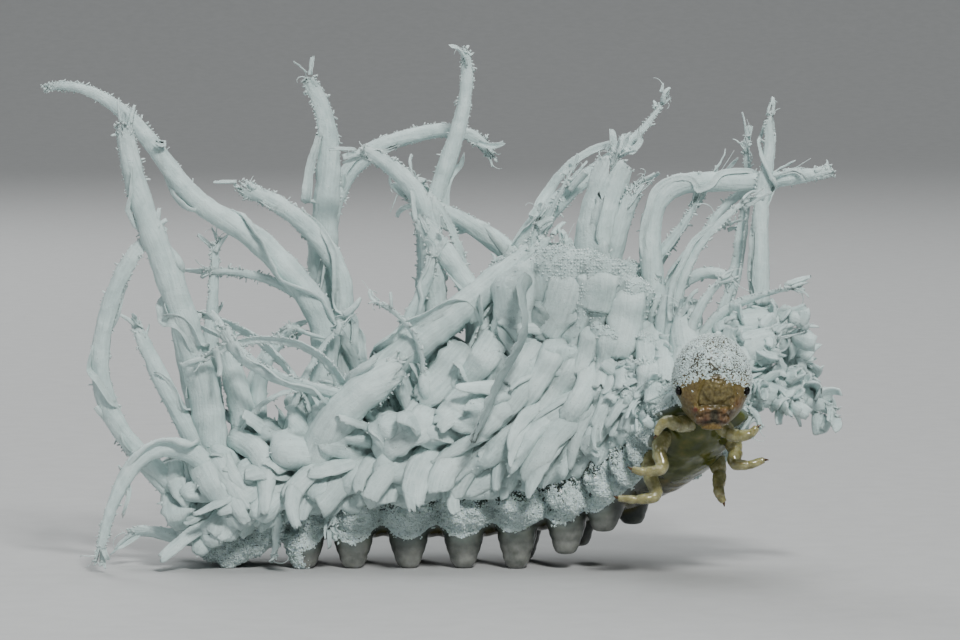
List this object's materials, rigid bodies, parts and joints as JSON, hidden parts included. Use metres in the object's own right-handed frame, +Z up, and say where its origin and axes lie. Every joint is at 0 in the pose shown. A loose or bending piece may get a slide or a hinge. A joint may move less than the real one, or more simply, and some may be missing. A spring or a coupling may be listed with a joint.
{
  "type": "butternut woollyworm sawfly larva",
  "caption": "Still life-size sawfly larva under long curling filaments and tongues of white wax, standing on its prolegs with its head raised and turned to one side.",
  "frame": {"origin": "centre of the footprint of the bounding box, at the floor that the prolegs stand on", "axes": "+X along the body from the tail to the raised front, +Z up, -Y the side that the face looks to"},
  "size_m": [0.0266, 0.0112, 0.0174],
  "materials": {
    "wax": "matte, powdery",
    "flesh": "smooth, damp",
    "chitin": "semi-gloss",
    "eye": "glossy"
  },
  "bodies": {
    "root": {"head": "chitin", "eye_left": "eye", "eye_right": "eye", "thorax": "wax", "abdomen": "wax", "tail": "wax", "leg_left_1": "flesh", "leg_left_2": "flesh", "leg_left_3": "flesh", "proleg_left_a2": "flesh", "proleg_left_a3": "flesh", "proleg_left_a4": "flesh", "proleg_left_a5": "flesh", "proleg_left_a6": "flesh", "proleg_left_a7": "flesh", "proleg_left_a8": "flesh", "proleg_left_a10": "flesh", "leg_right_1": "flesh", "leg_right_2": "flesh", "leg_right_3": "flesh", "proleg_right_a2": "flesh", "proleg_right_a3": "flesh", "proleg_right_a4": "flesh", "proleg_right_a5": "flesh", "proleg_right_a6": "flesh", "proleg_right_a7": "flesh", "proleg_right_a8": "flesh", "proleg_right_a10": "flesh"}
  },
  "joints": []
}
